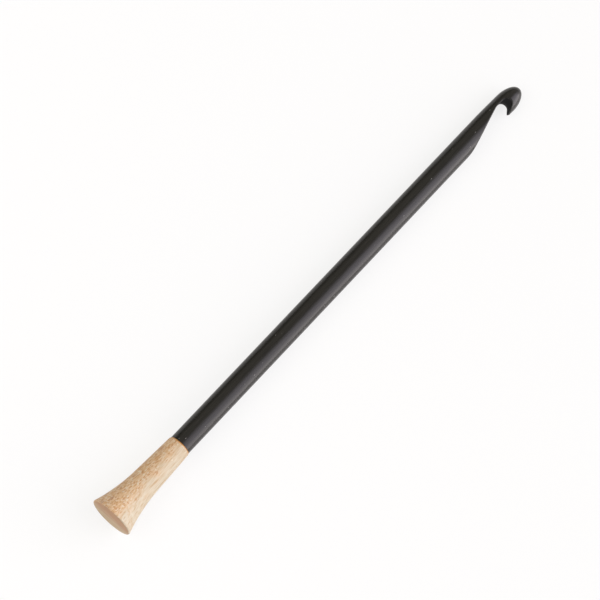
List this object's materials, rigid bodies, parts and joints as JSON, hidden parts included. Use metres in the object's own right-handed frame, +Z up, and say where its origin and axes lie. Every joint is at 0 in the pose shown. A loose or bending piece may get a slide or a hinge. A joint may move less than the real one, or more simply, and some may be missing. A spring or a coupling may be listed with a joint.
{
  "type": "crochet repair hook",
  "caption": "Crochet hook with a round black wood shaft, an in-line hook head with a slanted throat, and a flared pale wood end cap glued on.",
  "frame": {"origin": "centre of the bounding box on the ground that the hook lies on", "axes": "+Y along the tool from the flat end of the cap to the tip of the hook, +X the way the throat opens, +Z up; the tool's own axis falls 1.1 degrees towards the hook, because it lies on the cap's rim and the head"},
  "size_m": [0.011, 0.1474, 0.011],
  "materials": {
    "black_wood": "polished, fine straight grain",
    "pale_wood": "smooth sanded, light satin oil",
    "glue": "cured, clear amber"
  },
  "bodies": {
    "root": {"hook_shaft": "black_wood", "end_cap": "pale_wood", "glue_line": "glue"}
  },
  "joints": []
}
